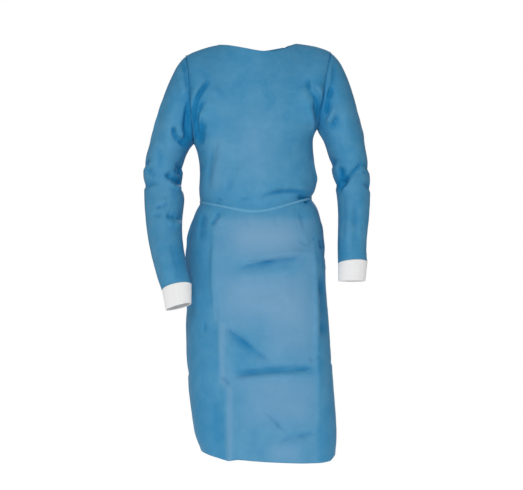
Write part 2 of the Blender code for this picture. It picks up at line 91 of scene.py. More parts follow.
def setRoom():
    bpy.ops.object.select_all(action="DESELECT")
    bpy.ops.mesh.primitive_plane_add(size=room["floorSize"], location=(0, 0, room["floorLevel"]))
    floor = bpy.context.object
    floor.name = "studio_floor"
    paint = bpy.data.materials.new("floorPaint")
    paint.use_nodes = True
    shader = paint.node_tree.nodes["Principled BSDF"]
    shader.inputs["Base Color"].default_value = (*room["floorColour"], 1)
    shader.inputs["Roughness"].default_value = room["floorRoughness"]
    shader.inputs["Emission Color"].default_value = (1, 1, 1, 1)
    shader.inputs["Emission Strength"].default_value = room["floorGlow"]
    floor.data.materials.append(paint)
    floor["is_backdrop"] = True
    world = bpy.data.worlds.new("studio")
    bpy.context.scene.world = world
    world.use_nodes = True
    nodes, links = world.node_tree.nodes, world.node_tree.links
    light = nodes["Background"]
    light.inputs["Color"].default_value = (1, 1, 1, 1)
    light.inputs["Strength"].default_value = room["fill"]
    seen = nodes.new("ShaderNodeBackground")
    seen.inputs["Color"].default_value = (1, 1, 1, 1)
    seen.inputs["Strength"].default_value = room["shownWhite"]
    path, mix = nodes.new("ShaderNodeLightPath"), nodes.new("ShaderNodeMixShader")
    links.new(path.outputs["Is Camera Ray"], mix.inputs["Fac"])
    links.new(light.outputs["Background"], mix.inputs[1])
    links.new(seen.outputs["Background"], mix.inputs[2])
    links.new(mix.outputs["Shader"], nodes["World Output"].inputs["Surface"])
    for name, place, target, size, watts in lamps:
        aim = (Vector(target) - Vector(place)).to_track_quat("-Z", "Y")
        bpy.ops.object.light_add(type="AREA", location=place, rotation=aim.to_euler())
        lamp = bpy.context.object
        lamp.name = name
        lamp.data.size = size
        lamp.data.energy = watts
    bpy.context.scene.view_settings.view_transform = "Standard"


setCamera()
setRoom()
print("camera, floor and light set")

clothFinish = {
    "blue": (0.034, 0.222, 0.412),
    "pale": (0.070, 0.268, 0.452),  # where the web of fibres is thick and cloudy
    "paintedSheen": (0.165, 0.325, 0.490),  # painted sheen: greyer where the front lies pressed flat and catches the light
    "paintedShade": (0.000, 0.165, 0.370),  # painted shade: deeper blue in the folds, under the arms, at the sides and along the seams, standing in for blue light going from cloth to cloth
    "roughness": 0.72,
    "gloss": 0.30,
    "sheen": 0.03,
    "bondPitch": 0.0019,  # between the heat bonds pressed into the cloth
    "cloud": 0.045,
}
# The ties are the gown's own cloth painted paler: a painted highlight, so the thin belt reads as a lit line
paintedPaleTieFinish = {**clothFinish, "blue": (0.078, 0.285, 0.470), "pale": (0.110, 0.325, 0.510)}
# the knit's shade colour is painted shade in the hollows between its ribs
knitFinish = {"white": (0.86, 0.86, 0.86), "ribHollowShade": (0.74, 0.74, 0.74), "roughness": 0.9, "sheen": 0.12}
threadFinish = {"colour": (0.16, 0.40, 0.60), "roughness": 0.6}


def addNode(nodes, kind, **inputs):
    node = nodes.new(kind)
    for name, value in inputs.items():
        node.inputs[name].default_value = value
    return node


webShare = {"colour": 0.28, "height": 0.4}  # how much of each the fibres give, beside clouds and bonds


# The web of a nonwoven cloth: cloudy thick and thin places, fibres and pressed bonds
def makeBondGroup():
    group = bpy.data.node_groups.new("nonwovenWeb", "ShaderNodeTree")
    for name, kind, way in (
        ("Pitch", "NodeSocketFloat", "INPUT"),
        ("Cloud", "NodeSocketFloat", "INPUT"),
        ("Thick", "NodeSocketFloat", "OUTPUT"),
        ("Height", "NodeSocketFloat", "OUTPUT"),
    ):
        group.interface.new_socket(name, in_out=way, socket_type=kind)
    nodes, links = group.nodes, group.links
    entry, leave = nodes.new("NodeGroupInput"), nodes.new("NodeGroupOutput")
    place = nodes.new("ShaderNodeTexCoord")
    cloudScale = addNode(nodes, "ShaderNodeMath")
    cloudScale.operation = "DIVIDE"
    cloudScale.inputs[0].default_value = 1
    links.new(entry.outputs["Cloud"], cloudScale.inputs[1])
    cloud = addNode(nodes, "ShaderNodeTexNoise", Detail=4.0, Roughness=0.62, Distortion=0.3)
    links.new(place.outputs["Object"], cloud.inputs["Vector"])
    links.new(cloudScale.outputs[0], cloud.inputs["Scale"])
    fibres = addNode(nodes, "ShaderNodeTexNoise", Scale=520.0, Detail=3.0, Roughness=0.7, Distortion=1.6)
    links.new(place.outputs["Object"], fibres.inputs["Vector"])
    bondScale = addNode(nodes, "ShaderNodeMath")
    bondScale.operation = "DIVIDE"
    bondScale.inputs[0].default_value = 1
    links.new(entry.outputs["Pitch"], bondScale.inputs[1])
    bonds = addNode(nodes, "ShaderNodeTexVoronoi", Randomness=0.35)
    links.new(place.outputs["Object"], bonds.inputs["Vector"])
    links.new(bondScale.outputs[0], bonds.inputs["Scale"])
    dimple = addNode(nodes, "ShaderNodeMapRange", **{"From Min": 0.12, "From Max": 0.34})
    dimple.interpolation_type = "SMOOTHSTEP"
    links.new(bonds.outputs["Distance"], dimple.inputs["Value"])
    thick = addNode(nodes, "ShaderNodeMix")
    links.new(cloud.outputs["Fac"], thick.inputs["A"])
    links.new(fibres.outputs["Fac"], thick.inputs["B"])
    thick.inputs["Factor"].default_value = webShare["colour"]
    links.new(thick.outputs["Result"], leave.inputs["Thick"])
    height = addNode(nodes, "ShaderNodeMix")
    height.inputs["Factor"].default_value = webShare["height"]
    links.new(dimple.outputs["Result"], height.inputs["A"])
    links.new(fibres.outputs["Fac"], height.inputs["B"])
    links.new(height.outputs["Result"], leave.inputs["Height"])
    return group


nonwovenWeb = makeBondGroup()


def makeClothMaterial(name, finish):
    made = bpy.data.materials.new(name)
    made.use_nodes = True
    nodes, links = made.node_tree.nodes, made.node_tree.links
    shader = nodes["Principled BSDF"]
    shader.inputs["Roughness"].default_value = finish["roughness"]
    shader.inputs["Specular IOR Level"].default_value = finish["gloss"]
    shader.inputs["Sheen Weight"].default_value = finish["sheen"]
    shader.inputs["Sheen Roughness"].default_value = 0.5
    web = nodes.new("ShaderNodeGroup")
    web.node_tree = nonwovenWeb
    web.inputs["Pitch"].default_value = finish["bondPitch"]
    web.inputs["Cloud"].default_value = finish["cloud"]
    spread = addNode(nodes, "ShaderNodeMapRange", **{"From Min": 0.36, "From Max": 0.68})
    links.new(web.outputs["Thick"], spread.inputs["Value"])
    colour = addNode(nodes, "ShaderNodeMix")
    colour.data_type = "RGBA"
    colour.inputs[6].default_value = (*finish["blue"], 1)
    colour.inputs[7].default_value = (*finish["pale"], 1)
    links.new(spread.outputs["Result"], colour.inputs["Factor"])
    # painted sheen, then painted shade, mixed over the cloth colour where their attributes say
    for tint in ("paintedSheen", "paintedShade"):
        amount = nodes.new("ShaderNodeAttribute")
        amount.attribute_name = tint
        tinted = nodes.new("ShaderNodeMix")
        tinted.data_type = "RGBA"
        tinted.inputs[7].default_value = (*finish[tint], 1)
        links.new(colour.outputs[2], tinted.inputs[6])
        links.new(amount.outputs["Fac"], tinted.inputs["Factor"])
        colour = tinted
    links.new(colour.outputs[2], shader.inputs["Base Color"])
    bump = addNode(nodes, "ShaderNodeBump", Strength=0.25, Distance=0.0003)
    links.new(web.outputs["Height"], bump.inputs["Height"])
    links.new(bump.outputs["Normal"], shader.inputs["Normal"])
    return made


def makeKnitMaterial():
    made = bpy.data.materials.new("ribbedKnit")
    made.use_nodes = True
    nodes, links = made.node_tree.nodes, made.node_tree.links
    shader = nodes["Principled BSDF"]
    shader.inputs["Roughness"].default_value = knitFinish["roughness"]
    shader.inputs["Sheen Weight"].default_value = knitFinish["sheen"]
    place = nodes.new("ShaderNodeTexCoord")
    loops = addNode(nodes, "ShaderNodeTexVoronoi", Scale=900.0, Randomness=0.5)
    links.new(place.outputs["Object"], loops.inputs["Vector"])
    # painted shade between ribs: the knit is darker where the rib attribute is low
    ribShade = nodes.new("ShaderNodeAttribute")
    ribShade.attribute_name = "ribShade"
    colour = addNode(nodes, "ShaderNodeMix")
    colour.data_type = "RGBA"
    colour.inputs[6].default_value = (*knitFinish["ribHollowShade"], 1)
    colour.inputs[7].default_value = (*knitFinish["white"], 1)
    links.new(ribShade.outputs["Fac"], colour.inputs["Factor"])
    links.new(colour.outputs[2], shader.inputs["Base Color"])
    bump = addNode(nodes, "ShaderNodeBump", Strength=0.5, Distance=0.0004)
    links.new(loops.outputs["Distance"], bump.inputs["Height"])
    links.new(bump.outputs["Normal"], shader.inputs["Normal"])
    return made


def makeThreadMaterial():
    made = bpy.data.materials.new("sewingThread")
    made.use_nodes = True
    nodes, links = made.node_tree.nodes, made.node_tree.links
    shader = nodes["Principled BSDF"]
    shader.inputs["Roughness"].default_value = threadFinish["roughness"]
    place = nodes.new("ShaderNodeTexCoord")
    twist = addNode(nodes, "ShaderNodeTexWave", Scale=900.0, Distortion=2.0)
    links.new(place.outputs["Object"], twist.inputs["Vector"])
    colour = addNode(nodes, "ShaderNodeMix")
    colour.data_type = "RGBA"
    colour.inputs[6].default_value = (*[c * 0.75 for c in threadFinish["colour"]], 1)
    colour.inputs[7].default_value = (*threadFinish["colour"], 1)
    links.new(twist.outputs["Fac"], colour.inputs["Factor"])
    links.new(colour.outputs[2], shader.inputs["Base Color"])
    return made


blueCloth = makeClothMaterial("blueNonwoven", clothFinish)
paintedPaleTieCloth = makeClothMaterial("tieNonwovenPaintedPale", paintedPaleTieFinish)
whiteKnit = makeKnitMaterial()
thread = makeThreadMaterial()
print("finishes made")

# Creases, listed one by one. A path runs over the cloth as seen square on: (x, z) from the front or the
# back, (y, z) from a side. Depth is below 0 for a trough. "sharp" is 2 for a soft fold and near 1 for a
# pressed one. Each table lists views, and their rows have the path and then depth, width and sharp.
Crease = namedtuple("Crease", "view path depth width sharp")

bodyFolds = [
    ("front", [
        # armpits
        ([(-0.189, -0.252), (-0.178, -0.202), (-0.160, -0.156), (-0.122, -0.100)], -0.0062, 0.0072, 1.4),
        ([(-0.178, -0.287), (-0.172, -0.238), (-0.158, -0.195), (-0.136, -0.157)], -0.0042, 0.0060, 1.4),
        ([(-0.188, -0.246), (-0.184, -0.195), (-0.168, -0.143), (-0.133, -0.097)], 0.0045, 0.0065, 1.5),
        ([(-0.166, -0.262), (-0.160, -0.225), (-0.144, -0.190)], 0.0028, 0.0060, 1.6),
        ([(-0.152, -0.300), (-0.150, -0.262), (-0.138, -0.228)], -0.0018, 0.0060, 1.6),
        ([(-0.105, -0.118), (-0.128, -0.160), (-0.146, -0.225)], 0.0030, 0.018, 2),
        ([(-0.176, -0.205), (-0.171, -0.250), (-0.160, -0.300)], -0.0065, 0.012, 2),
        (
            [(0.182, -0.245), (0.184, -0.205), (0.173, -0.165), (0.154, -0.138), (0.147, -0.090)],
            -0.0055, 0.0065, 1.4,
        ),
        ([(0.170, -0.262), (0.176, -0.232), (0.174, -0.195), (0.164, -0.160)], -0.0048, 0.0060, 1.4),
        ([(0.160, -0.275), (0.164, -0.240), (0.158, -0.200)], 0.0026, 0.0060, 1.6),
        ([(0.133, -0.110), (0.138, -0.160), (0.156, -0.205), (0.166, -0.260)], 0.0035, 0.014, 2),
        ([(0.168, -0.120), (0.186, -0.155), (0.194, -0.200)], 0.0035, 0.008, 2),
        # chest and waist
        ([(-0.098, -0.272), (-0.113, -0.352), (-0.128, -0.428)], 0.0022, 0.012, 2),
        ([(-0.118, -0.270), (-0.132, -0.352), (-0.142, -0.440)], -0.0022, 0.010, 2),
        ([(-0.039, -0.345), (-0.056, -0.391), (-0.072, -0.432)], 0.0016, 0.008, 2),
        ([(-0.057, -0.340), (-0.074, -0.391), (-0.088, -0.436)], -0.0014, 0.010, 2),
        ([(0.030, -0.360), (0.010, -0.405), (-0.012, -0.446)], 0.0012, 0.012, 2),
        (
            [(0.010, -0.458), (0.031, -0.439), (0.070, -0.430), (0.124, -0.429), (0.155, -0.436)],
            -0.0045, 0.006, 1.5,
        ),
        ([(0.024, -0.434), (0.066, -0.419), (0.124, -0.417), (0.160, -0.420)], 0.0038, 0.010, 2),
        ([(0.118, -0.446), (0.134, -0.450), (0.150, -0.462)], -0.0045, 0.0055, 2),
        ([(-0.048, -0.455), (-0.030, -0.451), (-0.012, -0.452)], -0.0020, 0.0035, 1.5),
        ([(-0.048, -0.449), (-0.030, -0.445), (-0.012, -0.447)], 0.0016, 0.004, 2),
        ([(-0.100, -0.445), (-0.108, -0.458), (-0.112, -0.472)], -0.0022, 0.005, 2),
        # under the belt
        ([(-0.106, -0.482), (-0.118, -0.506), (-0.133, -0.526)], -0.0042, 0.0048, 1.5),
        ([(-0.093, -0.486), (-0.104, -0.510), (-0.118, -0.532)], 0.0022, 0.008, 2),
        ([(-0.150, -0.482), (-0.158, -0.520), (-0.160, -0.570)], -0.0025, 0.009, 2),
        ([(-0.020, -0.496), (-0.022, -0.512), (-0.020, -0.530)], -0.0012, 0.005, 2),
        ([(0.050, -0.490), (0.056, -0.510), (0.055, -0.530)], -0.0012, 0.006, 2),
        ([(0.118, -0.480), (0.130, -0.505), (0.140, -0.540)], -0.0022, 0.008, 2),
        # skirt: the long pressed edges at both sides of the front
        (
            [(-0.119, -0.510), (-0.122, -0.614), (-0.123, -0.686), (-0.115, -0.763), (-0.104, -0.830),
             (-0.101, -0.881), (-0.097, -0.955)],
            0.0042, 0.011, 1.2,
        ),
        ([(-0.100, -0.955), (-0.087, -1.026), (-0.078, -1.091), (-0.074, -1.205)], 0.0042, 0.012, 1.2),
        ([(-0.103, -0.700), (-0.112, -0.765), (-0.110, -0.812)], -0.0032, 0.0045, 1.5),
        (
            [(0.163, -0.545), (0.167, -0.622), (0.170, -0.735), (0.172, -0.910), (0.176, -0.960),
             (0.175, -1.130)],
            0.0045, 0.010, 1.2,
        ),
        ([(0.182, -0.640), (0.186, -0.735), (0.188, -0.860)], -0.0060, 0.014, 2),
        # skirt: thigh fold
        (
            [(-0.052, -0.624), (0.007, -0.618), (0.052, -0.611), (0.100, -0.603), (0.165, -0.600)],
            0.0042, 0.0065, 1.5,
        ),
        (
            [(0.170, -0.611), (0.110, -0.617), (0.052, -0.625), (-0.011, -0.637), (-0.068, -0.651)],
            -0.0055, 0.007, 1.6,
        ),
        ([(-0.075, -0.672), (0.000, -0.664), (0.060, -0.655), (0.120, -0.650)], 0.0022, 0.013, 2),
        ([(0.118, -0.566), (0.147, -0.576), (0.180, -0.552)], -0.0024, 0.005, 1.5),
        ([(0.180, -0.562), (0.184, -0.578), (0.189, -0.597)], -0.0040, 0.0045, 1.5),
        ([(-0.028, -0.735), (0.052, -0.714), (0.095, -0.682)], -0.0020, 0.014, 2),
        ([(0.010, -0.770), (0.070, -0.745), (0.120, -0.715)], 0.0016, 0.018, 2),
        ([(-0.060, -0.700), (0.000, -0.690), (0.050, -0.672)], 0.0015, 0.012, 2),
        # skirt: knee
        (
            [(0.060, -0.930), (0.020, -0.894), (-0.032, -0.853), (-0.058, -0.833), (-0.112, -0.794)],
            -0.0050, 0.0070, 1.3,
        ),
        ([(-0.096, -0.783), (-0.040, -0.822), (0.010, -0.862), (0.050, -0.896)], 0.0030, 0.014, 2),
        (
            [(-0.090, -0.952), (-0.019, -0.944), (0.033, -0.938), (0.078, -0.934), (0.136, -0.931),
             (0.190, -0.914)],
            -0.0040, 0.0070, 1.5,
        ),
        (
            [(-0.080, -0.966), (-0.010, -0.960), (0.050, -0.954), (0.110, -0.950), (0.170, -0.946)],
            0.0038, 0.008, 1.5,
        ),
        ([(-0.080, -0.932), (0.000, -0.924), (0.080, -0.917), (0.150, -0.912)], 0.0018, 0.010, 2),
        ([(-0.104, -0.949), (-0.088, -0.960), (-0.070, -0.974)], -0.0038, 0.0050, 1.5),
        ([(0.148, -0.910), (0.166, -0.903), (0.184, -0.892)], -0.0024, 0.006, 2),
        ([(-0.146, -0.790), (-0.147, -0.812), (-0.145, -0.832)], -0.0030, 0.0040, 1.5),
        # skirt: lower right and hem
        ([(0.022, -1.040), (0.048, -1.072), (0.075, -1.098), (0.100, -1.106)], -0.0034, 0.0060, 1.5),
        ([(0.036, -1.032), (0.066, -1.064), (0.096, -1.088)], 0.0022, 0.010, 2),
        ([(0.050, -1.150), (0.085, -1.130), (0.130, -1.118), (0.180, -1.112)], -0.0034, 0.007, 1.8),
        ([(0.060, -1.164), (0.105, -1.146), (0.150, -1.134)], 0.0022, 0.009, 2),
        ([(-0.120, -0.990), (-0.112, -1.080), (-0.108, -1.205)], -0.0018, 0.022, 2),
        ([(-0.034, -1.060), (-0.040, -1.130), (-0.038, -1.205)], 0.0020, 0.020, 2),
        ([(0.000, -1.090), (0.004, -1.150), (0.010, -1.205)], -0.0020, 0.018, 2),
    ]),
    ("back", [
        # back: from the shoulders, the waist and two pressed lines
        ([(-0.140, -0.110), (-0.158, -0.160), (-0.172, -0.225), (-0.170, -0.275)], -0.0060, 0.010, 2),
        ([(-0.122, -0.140), (-0.140, -0.200), (-0.148, -0.270)], 0.0030, 0.014, 2),
        ([(0.142, -0.100), (0.160, -0.150), (0.172, -0.200), (0.170, -0.240)], -0.0062, 0.010, 2),
        ([(0.120, -0.125), (0.140, -0.180), (0.150, -0.250)], 0.0028, 0.015, 2),
        ([(-0.060, -0.060), (-0.072, -0.110), (-0.078, -0.170)], -0.0016, 0.012, 2),
        ([(0.068, -0.065), (0.074, -0.130), (0.070, -0.200)], 0.0016, 0.012, 2),
        ([(-0.110, -0.300), (-0.102, -0.360), (-0.088, -0.425)], 0.0030, 0.012, 2),
        ([(-0.090, -0.320), (-0.078, -0.380), (-0.066, -0.430)], -0.0026, 0.010, 2),
        ([(0.090, -0.330), (0.078, -0.385), (0.060, -0.428)], 0.0026, 0.010, 2),
        ([(0.110, -0.340), (0.100, -0.390), (0.084, -0.430)], -0.0024, 0.010, 2),
        ([(0.040, -0.370), (0.034, -0.400), (0.024, -0.428)], -0.0018, 0.007, 2),
        ([(-0.040, -0.375), (-0.034, -0.400), (-0.030, -0.430)], 0.0018, 0.008, 2),
        ([(-0.060, -0.470), (-0.066, -0.520), (-0.080, -0.600)], -0.0034, 0.010, 2),
        ([(-0.084, -0.470), (-0.096, -0.530), (-0.112, -0.640)], 0.0034, 0.012, 2),
        ([(0.056, -0.470), (0.064, -0.530), (0.070, -0.620)], -0.0030, 0.010, 2),
        ([(0.090, -0.470), (0.104, -0.540), (0.118, -0.660)], 0.0032, 0.013, 2),
        ([(0.124, -0.480), (0.140, -0.540), (0.150, -0.620)], -0.0026, 0.010, 2),
        ([(-0.130, -0.482), (-0.142, -0.540), (-0.150, -0.610)], -0.0024, 0.010, 2),
        (
            [(-0.120, -0.560), (-0.124, -0.700), (-0.118, -0.860), (-0.124, -1.000), (-0.116, -1.205)],
            0.0040, 0.012, 1.3,
        ),
        (
            [(0.136, -0.560), (0.144, -0.700), (0.140, -0.850), (0.150, -1.000), (0.146, -1.205)],
            0.0040, 0.012, 1.3,
        ),
        ([(-0.130, -0.664), (-0.060, -0.652), (0.010, -0.656), (0.070, -0.646)], -0.0050, 0.008, 1.6),
        ([(-0.120, -0.642), (-0.060, -0.634), (0.010, -0.636), (0.070, -0.630)], 0.0030, 0.009, 2),
        (
            [(-0.150, -0.944), (-0.070, -0.938), (0.010, -0.931), (0.090, -0.934), (0.170, -0.922)],
            -0.0052, 0.008, 1.5,
        ),
        (
            [(-0.145, -0.962), (-0.060, -0.956), (0.020, -0.949), (0.100, -0.952), (0.165, -0.944)],
            0.0032, 0.009, 1.6,
        ),
        ([(0.120, -0.780), (0.060, -0.830), (0.000, -0.880), (-0.030, -0.912)], -0.0040, 0.009, 1.6),
        ([(-0.060, -1.020), (-0.070, -1.110), (-0.066, -1.205)], -0.0028, 0.016, 2),
        ([(0.070, -1.010), (0.080, -1.110), (0.086, -1.205)], 0.0028, 0.018, 2),
    ]),
    ("right", [
        # sides
        ([(-0.020, -0.490), (-0.014, -0.560), (-0.018, -0.660)], 0.0034, 0.012, 2),
        ([(0.030, -0.485), (0.036, -0.560), (0.040, -0.700)], -0.0034, 0.012, 2),
        ([(-0.060, -0.950), (0.000, -0.956), (0.070, -0.944)], -0.0020, 0.008, 1.6),
        ([(-0.050, -0.660), (0.000, -0.670), (0.060, -0.662)], -0.0030, 0.008, 1.6),
        ([(0.010, -0.730), (0.014, -0.900), (0.004, -1.100)], 0.0034, 0.018, 2),
        ([(-0.050, -0.340), (-0.030, -0.380), (-0.020, -0.420)], -0.0024, 0.010, 2),
        ([(0.050, -0.340), (0.040, -0.380), (0.030, -0.420)], 0.0024, 0.010, 2),
    ]),
    ("left", [
        ([(-0.030, -0.480), (-0.024, -0.550), (-0.034, -0.640)], -0.0034, 0.012, 2),
        ([(0.024, -0.478), (0.030, -0.560), (0.040, -0.700)], 0.0034, 0.013, 2),
        ([(-0.060, -0.918), (0.000, -0.922), (0.070, -0.930)], -0.0020, 0.008, 1.6),
        ([(-0.060, -0.604), (0.000, -0.616), (0.070, -0.626)], -0.0032, 0.009, 1.6),
        ([(-0.004, -0.720), (-0.012, -0.900), (-0.004, -1.120)], -0.0034, 0.018, 2),
        ([(0.060, -0.720), (0.066, -0.900), (0.060, -1.150)], 0.0030, 0.016, 2),
        ([(-0.050, -0.330), (-0.030, -0.380), (-0.020, -0.415)], 0.0024, 0.010, 2),
    ]),
]

sleeveFolds = [
    ("front", [
        # wearer's right sleeve, from the front
        ([(-0.211, -0.050), (-0.203, -0.095), (-0.193, -0.138)], -0.0040, 0.0060, 1.6),
        ([(-0.224, -0.060), (-0.217, -0.110), (-0.206, -0.165)], 0.0030, 0.010, 2),
        ([(-0.191, -0.160), (-0.199, -0.232), (-0.200, -0.285)], -0.0080, 0.014, 2),
        ([(-0.242, -0.232), (-0.235, -0.268), (-0.216, -0.289), (-0.194, -0.296)], -0.0062, 0.0068, 1.6),
        ([(-0.228, -0.235), (-0.220, -0.262), (-0.205, -0.276)], 0.0040, 0.009, 2),
        ([(-0.262, -0.250), (-0.254, -0.300), (-0.262, -0.340)], 0.0024, 0.014, 2),
        ([(-0.285, -0.300), (-0.278, -0.340), (-0.290, -0.372)], -0.0022, 0.010, 2),
        ([(-0.268, -0.374), (-0.238, -0.393), (-0.206, -0.408)], -0.0058, 0.0075, 1.5),
        ([(-0.262, -0.395), (-0.236, -0.411), (-0.208, -0.422)], 0.0052, 0.007, 2),
        ([(-0.240, -0.365), (-0.220, -0.372), (-0.204, -0.380)], -0.0042, 0.009, 2),
        ([(-0.318, -0.352), (-0.308, -0.372), (-0.290, -0.386)], -0.0030, 0.009, 2),
        ([(-0.292, -0.474), (-0.270, -0.469), (-0.248, -0.459)], -0.0034, 0.0048, 1.6),
        ([(-0.294, -0.467), (-0.271, -0.461), (-0.249, -0.451)], 0.0028, 0.006, 2),
        ([(-0.300, -0.500), (-0.280, -0.496), (-0.262, -0.490)], -0.0022, 0.006, 2),
        ([(-0.262, -0.494), (-0.236, -0.501), (-0.206, -0.510)], -0.0046, 0.0070, 1.5),
        ([(-0.256, -0.512), (-0.234, -0.520), (-0.208, -0.526)], 0.0034, 0.008, 2),
        ([(-0.285, -0.540), (-0.268, -0.620), (-0.246, -0.690)], 0.0022, 0.016, 2),
        ([(-0.246, -0.560), (-0.228, -0.620), (-0.214, -0.680)], -0.0020, 0.014, 2),
    ]),
    ("back", [
        # its back
        ([(-0.262, -0.130), (-0.256, -0.190), (-0.236, -0.250)], -0.0034, 0.014, 2),
        ([(-0.230, -0.110), (-0.216, -0.180), (-0.206, -0.250)], 0.0034, 0.014, 2),
        ([(-0.320, -0.350), (-0.285, -0.372), (-0.250, -0.384)], -0.0050, 0.010, 2),
        ([(-0.322, -0.395), (-0.290, -0.408), (-0.248, -0.412)], 0.0042, 0.010, 2),
        ([(-0.318, -0.440), (-0.286, -0.448), (-0.250, -0.444)], -0.0044, 0.010, 2),
        ([(-0.305, -0.500), (-0.275, -0.520), (-0.240, -0.526)], -0.0026, 0.010, 2),
        ([(-0.290, -0.560), (-0.262, -0.620), (-0.240, -0.680)], 0.0024, 0.014, 2),
    ]),
    ("front", [
        # wearer's left sleeve, from the front
        ([(0.222, -0.050), (0.218, -0.110), (0.206, -0.165)], -0.0030, 0.0070, 1.8),
        ([(0.214, -0.120), (0.204, -0.165), (0.196, -0.215)], -0.0050, 0.007, 1.5),
        ([(0.226, -0.178), (0.215, -0.205), (0.200, -0.236)], 0.0050, 0.006, 1.8),
        ([(0.234, -0.200), (0.222, -0.228), (0.208, -0.252)], -0.0040, 0.007, 2),
        ([(0.262, -0.180), (0.256, -0.240), (0.246, -0.300)], 0.0028, 0.018, 2),
        (
            [(0.312, -0.335), (0.290, -0.358), (0.269, -0.378), (0.250, -0.400), (0.238, -0.430)],
            -0.0070, 0.0058, 1.3,
        ),
        (
            [(0.318, -0.345), (0.296, -0.368), (0.275, -0.390), (0.257, -0.412), (0.245, -0.440)],
            0.0045, 0.007, 1.8,
        ),
        ([(0.280, -0.378), (0.300, -0.376), (0.328, -0.371)], -0.0034, 0.0042, 1.5),
        ([(0.236, -0.350), (0.244, -0.385), (0.236, -0.410)], -0.0050, 0.008, 2),
        ([(0.262, -0.425), (0.264, -0.500), (0.258, -0.580)], 0.0024, 0.012, 2),
        ([(0.296, -0.430), (0.300, -0.500), (0.296, -0.580)], 0.0026, 0.014, 2),
        ([(0.280, -0.440), (0.282, -0.500), (0.277, -0.600)], -0.0026, 0.012, 2),
        ([(0.318, -0.600), (0.323, -0.612), (0.326, -0.622)], 0.0040, 0.007, 2),
    ]),
    ("back", [
        # its back
        ([(0.272, -0.110), (0.266, -0.180), (0.246, -0.250)], 0.0034, 0.014, 2),
        ([(0.240, -0.100), (0.226, -0.160), (0.212, -0.230)], -0.0040, 0.014, 2),
        ([(0.322, -0.350), (0.290, -0.370), (0.252, -0.378)], -0.0050, 0.010, 2),
        ([(0.326, -0.392), (0.292, -0.404), (0.256, -0.408)], 0.0040, 0.010, 2),
        ([(0.322, -0.434), (0.292, -0.440), (0.260, -0.436)], -0.0038, 0.009, 2),
        ([(0.300, -0.470), (0.296, -0.530), (0.300, -0.600)], 0.0024, 0.014, 2),
    ]),
    ("right", [
        # outer sides
        ([(-0.040, -0.330), (0.010, -0.352), (0.060, -0.345)], -0.0040, 0.009, 1.8),
        ([(-0.050, -0.400), (0.000, -0.412), (0.060, -0.400)], -0.0040, 0.009, 1.8),
        ([(-0.030, -0.140), (-0.020, -0.220), (-0.010, -0.300)], 0.0026, 0.016, 2),
    ]),
    ("left", [
        ([(-0.040, -0.345), (0.010, -0.362), (0.060, -0.352)], -0.0040, 0.009, 1.8),
        ([(-0.040, -0.400), (0.010, -0.420), (0.060, -0.405)], -0.0036, 0.009, 1.8),
        ([(0.030, -0.140), (0.020, -0.220), (0.016, -0.300)], 0.0026, 0.016, 2),
    ]),
]

# Painted light: painted sheen where the cloth is greyer (tint above 0), painted shade where it is deeper
# (below 0), as areas with soft edges seen square on
Wash = namedtuple("Wash", "view low high soft tint")
paintedLightAreas = [
    ("front", [
        ((-0.120, -0.800), (0.168, -0.505), 0.010, 0.28),
        ((-0.098, -0.985), (0.170, -0.800), 0.010, 0.28),
        ((-0.076, -1.230), (0.173, -0.985), 0.010, 0.20),
        ((-0.060, -0.600), (0.120, -0.515), 0.050, 0.62),
        ((-0.080, -0.780), (0.140, -0.670), 0.055, 0.45),
        ((0.040, -0.880), (0.160, -0.750), 0.040, 0.25),
        ((-0.020, -1.080), (0.160, -0.965), 0.040, 0.32),
        ((0.040, -1.190), (0.120, -1.140), 0.030, 0.35),
        ((-0.104, -0.970), (-0.088, -0.800), 0.008, 0.35),
        ((-0.084, -1.200), (-0.066, -0.980), 0.008, 0.35),
        ((-0.060, -0.400), (0.060, -0.220), 0.070, 0.32),
        ((-0.130, -0.420), (-0.090, -0.280), 0.020, 0.25),
        ((-0.060, -0.660), (0.120, -0.628), 0.022, -0.24),
        ((-0.070, -0.920), (0.000, -0.840), 0.040, -0.40),
        ((-0.060, -0.945), (0.160, -0.920), 0.014, -0.35),
        ((-0.250, -1.220), (-0.135, -0.500), 0.020, -0.14),
        ((-0.250, -1.250), (-0.100, -1.000), 0.030, -0.08),
        ((0.182, -1.220), (0.260, -0.560), 0.012, -0.20),
        ((-0.200, -0.300), (-0.165, -0.130), 0.034, -0.70),
        ((0.170, -0.270), (0.205, -0.130), 0.034, -0.80),
        ((-0.350, -0.180), (-0.120, 0.020), 0.050, -0.20),
        ((0.110, -0.180), (0.350, 0.020), 0.050, -0.12),
        ((-0.215, -0.340), (-0.190, -0.220), 0.018, -0.60),
        ((-0.240, -0.420), (-0.190, -0.385), 0.016, -0.70),
        ((0.230, -0.430), (0.262, -0.370), 0.018, -0.60),
        ((0.110, -0.460), (0.200, -0.425), 0.014, -0.55),
        ((-0.400, -0.700), (-0.220, -0.180), 0.050, 0.06),
        ((0.220, -0.620), (0.400, -0.180), 0.050, -0.02),
    ]),
    ("back", [
        ((-0.130, -1.230), (0.140, -0.520), 0.020, 0.25),
        ((-0.090, -0.620), (0.100, -0.520), 0.050, 0.40),
        ((-0.070, -1.080), (0.120, -0.960), 0.050, 0.35),
        ((-0.060, -0.360), (0.060, -0.160), 0.070, 0.30),
        ((-0.190, -0.260), (-0.150, -0.120), 0.025, -0.90),
        ((0.150, -0.260), (0.190, -0.120), 0.025, -0.90),
    ]),
]

# Soft changes of form: place, reach, and how far the cloth there goes
lifts = [
    ((-0.196, 0.0, -0.056), 0.034, (-0.0090, 0, 0.0060)),
    ((0.196, 0.0, -0.056), 0.034, (0.0080, 0, 0.0070)),
]
